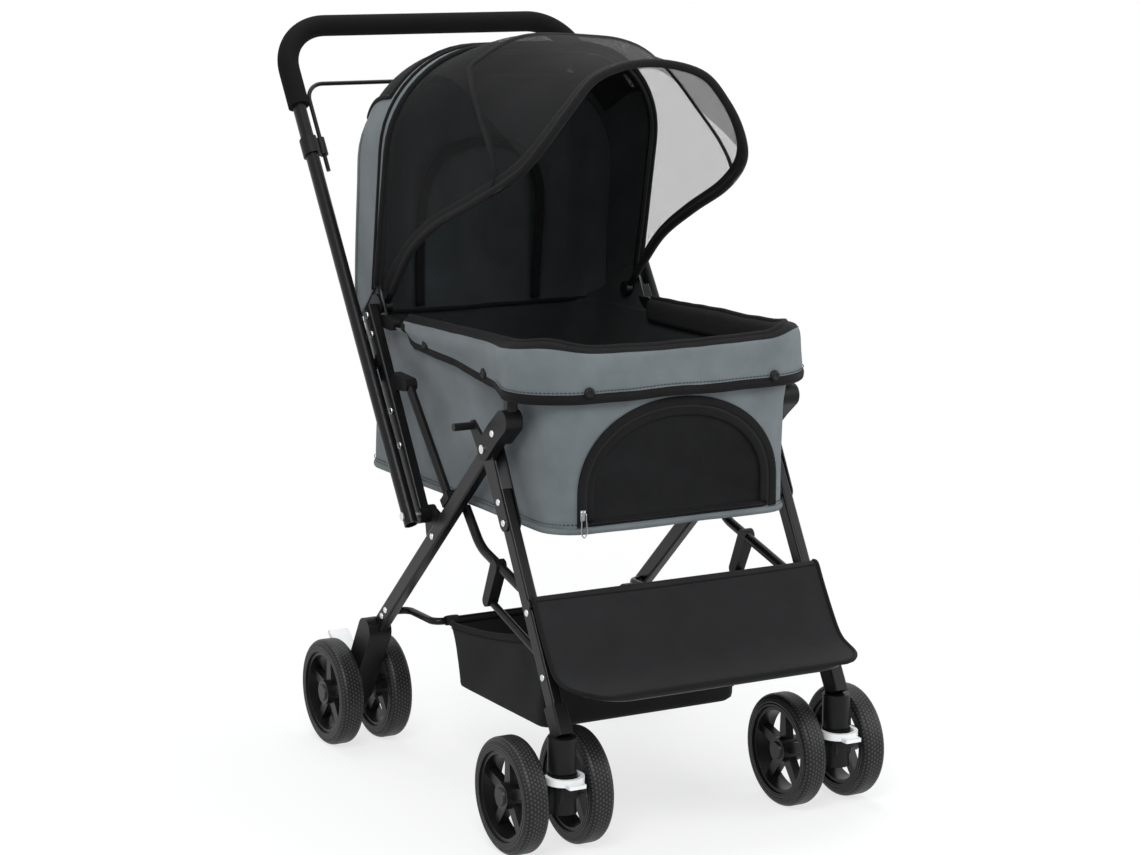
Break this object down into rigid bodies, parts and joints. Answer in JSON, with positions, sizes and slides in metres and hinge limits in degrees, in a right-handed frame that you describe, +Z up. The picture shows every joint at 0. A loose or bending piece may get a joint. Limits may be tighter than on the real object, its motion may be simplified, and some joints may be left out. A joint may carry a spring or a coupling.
{
  "type": "pet stroller",
  "caption": "Folding pet stroller: soft cabin with a zipped mesh door and a folding canopy on crossed legs, with twin wheels, swivel casters, a reversible handle and an under-basket.",
  "frame": {"origin": "on the ground, under the centre of the stroller's box", "axes": "+Z up, -Y is the way it is pushed with the handle at the rear, +X is the pusher's left"},
  "size_m": [0.537, 0.858, 1.0148],
  "materials": {
    "frame_black": "satin black powder coat",
    "steel": "plain zinc-plated steel",
    "plastic_black": "fine-grained black moulding",
    "plastic_white": "smooth white moulding",
    "tyre": "matt black tyre with a dotted tread",
    "foam": "matt black foam sleeve",
    "cloth_grey": "slate-grey woven polyester",
    "cloth_black": "black woven polyester",
    "mesh_black": "black see-through mesh",
    "board": "hardboard under a dark cloth cover"
  },
  "bodies": {
    "chassis": {"seat_post_left": "frame_black", "seat_post_right": "frame_black", "cabin_rim": "frame_black", "rim_supports": "frame_black", "pivot_blocks": "plastic_black", "pivot_pins": "steel", "post_brackets": "plastic_black", "seat_struts": "frame_black", "cabin_tub": "cloth_grey", "floor_board": "board", "seat_rivets": "steel", "rear_leg_left": "frame_black", "rear_leg_right": "frame_black", "post_saddles": "plastic_black", "rear_hubs": "plastic_black", "rear_axles": "steel", "basket_frame": "frame_black", "storage_basket": "cloth_black", "canopy_rear": "cloth_grey"},
    "front_frame": {"front_leg_left": "frame_black", "front_leg_right": "frame_black", "leg_plates": "frame_black", "front_mouldings": "plastic_black", "side_braces": "frame_black", "footrest_tubes": "frame_black", "footrest_fabric": "cloth_black", "front_rivets": "steel"},
    "handle": {"handle_tube": "frame_black", "handle_grip": "foam", "handle_guides": "plastic_black"},
    "release": {"release_bar": "frame_black"},
    "hood_main": {"canopy_main_bow": "frame_black", "canopy_front": "mesh_black"},
    "hood_front": {"canopy_front_bow": "frame_black"},
    "door": {"front_door": "mesh_black"},
    "caster_left": {"caster_fork_left": "plastic_black", "caster_pins_left": "steel"},
    "lock_left": {"caster_lock_left": "plastic_white"},
    "brake_left": {"brake_pedal_left": "plastic_white"},
    "wheel_front_left_outer": {"rim_front_left_outer": "plastic_black", "tyre_front_left_outer": "tyre"},
    "wheel_front_left_inner": {"rim_front_left_inner": "plastic_black", "tyre_front_left_inner": "tyre"},
    "wheel_rear_left_outer": {"rim_rear_left_outer": "plastic_black", "tyre_rear_left_outer": "tyre"},
    "wheel_rear_left_inner": {"rim_rear_left_inner": "plastic_black", "tyre_rear_left_inner": "tyre"},
    "caster_right": {"caster_fork_right": "plastic_black", "caster_pins_right": "steel"},
    "lock_right": {"caster_lock_right": "plastic_white"},
    "brake_right": {"brake_pedal_right": "plastic_white"},
    "wheel_front_right_outer": {"rim_front_right_outer": "plastic_black", "tyre_front_right_outer": "tyre"},
    "wheel_front_right_inner": {"rim_front_right_inner": "plastic_black", "tyre_front_right_inner": "tyre"},
    "wheel_rear_right_outer": {"rim_rear_right_outer": "plastic_black", "tyre_rear_right_outer": "tyre"},
    "wheel_rear_right_inner": {"rim_rear_right_inner": "plastic_black", "tyre_rear_right_inner": "tyre"}
  },
  "joints": [
    {"name": "front_leg_fold", "type": "hinge", "parent": "chassis", "child": "front_frame", "pos_m": [0, -0.178, 0.489], "axis": [1, 0, 0], "range_deg": [0, 42], "deforming": ["storage_basket"]},
    {"name": "handle_reverse", "type": "hinge", "parent": "chassis", "child": "handle", "pos_m": [0, 0.005, 0.37], "axis": [-1, 0, 0], "range_deg": [-75.4, 0]},
    {"name": "release_squeeze", "type": "slide", "parent": "handle", "child": "release", "axis": [0, 0.5446, 0.8387], "range_m": [0, 0.025], "stiffness_N_per_m": 400},
    {"name": "hood_fold", "type": "hinge", "parent": "chassis", "child": "hood_main", "pos_m": [0, 0.16106, 0.62972], "axis": [-1, 0, 0], "range_deg": [0, 26], "deforming": ["canopy_rear"]},
    {"name": "hood_front_fold", "type": "hinge", "parent": "hood_main", "child": "hood_front", "pos_m": [0, 0.16106, 0.62972], "axis": [-1, 0, 0], "range_deg": [0, 27.1], "deforming": ["canopy_front"]},
    {"name": "door_flap", "type": "hinge", "parent": "chassis", "child": "door", "pos_m": [0, -0.2955, 0.4025], "axis": [1, 0, 0], "range_deg": [0, 95]},
    {"name": "caster_swivel_left", "type": "hinge", "parent": "front_frame", "child": "caster_left", "pos_m": [0.205, -0.361, 0.1], "axis": [0, 0, 1], "continuous": true},
    {"name": "caster_lock_left", "type": "hinge", "parent": "caster_left", "child": "lock_left", "pos_m": [0.205, -0.361, 0.104], "axis": [1, 0, 0], "range_deg": [0, 12]},
    {"name": "brake_pedal_left", "type": "hinge", "parent": "chassis", "child": "brake_left", "pos_m": [0.21, 0.252, 0.112], "axis": [-1, 0, 0], "range_deg": [0, 14]},
    {"name": "wheel_spin_front_left_outer", "type": "hinge", "parent": "caster_left", "child": "wheel_front_left_outer", "pos_m": [0.251, -0.314, 0.075], "axis": [1, 0, 0], "continuous": true},
    {"name": "wheel_spin_front_left_inner", "type": "hinge", "parent": "caster_left", "child": "wheel_front_left_inner", "pos_m": [0.159, -0.314, 0.075], "axis": [1, 0, 0], "continuous": true},
    {"name": "wheel_spin_rear_left_outer", "type": "hinge", "parent": "chassis", "child": "wheel_rear_left_outer", "pos_m": [0.2475, 0.232, 0.075], "axis": [1, 0, 0], "continuous": true},
    {"name": "wheel_spin_rear_left_inner", "type": "hinge", "parent": "chassis", "child": "wheel_rear_left_inner", "pos_m": [0.1725, 0.232, 0.075], "axis": [1, 0, 0], "continuous": true},
    {"name": "caster_swivel_right", "type": "hinge", "parent": "front_frame", "child": "caster_right", "pos_m": [-0.205, -0.361, 0.1], "axis": [0, 0, 1], "continuous": true},
    {"name": "caster_lock_right", "type": "hinge", "parent": "caster_right", "child": "lock_right", "pos_m": [-0.205, -0.361, 0.104], "axis": [1, 0, 0], "range_deg": [0, 12]},
    {"name": "brake_pedal_right", "type": "hinge", "parent": "chassis", "child": "brake_right", "pos_m": [-0.21, 0.252, 0.112], "axis": [-1, 0, 0], "range_deg": [0, 14]},
    {"name": "wheel_spin_front_right_outer", "type": "hinge", "parent": "caster_right", "child": "wheel_front_right_outer", "pos_m": [-0.251, -0.314, 0.075], "axis": [1, 0, 0], "continuous": true},
    {"name": "wheel_spin_front_right_inner", "type": "hinge", "parent": "caster_right", "child": "wheel_front_right_inner", "pos_m": [-0.159, -0.314, 0.075], "axis": [1, 0, 0], "continuous": true},
    {"name": "wheel_spin_rear_right_outer", "type": "hinge", "parent": "chassis", "child": "wheel_rear_right_outer", "pos_m": [-0.2475, 0.232, 0.075], "axis": [1, 0, 0], "continuous": true},
    {"name": "wheel_spin_rear_right_inner", "type": "hinge", "parent": "chassis", "child": "wheel_rear_right_inner", "pos_m": [-0.1725, 0.232, 0.075], "axis": [1, 0, 0], "continuous": true}
  ],
  "couplings": [
    {"joint": "hood_front_fold", "follows": "hood_fold", "ratio": 1.0385}
  ]
}
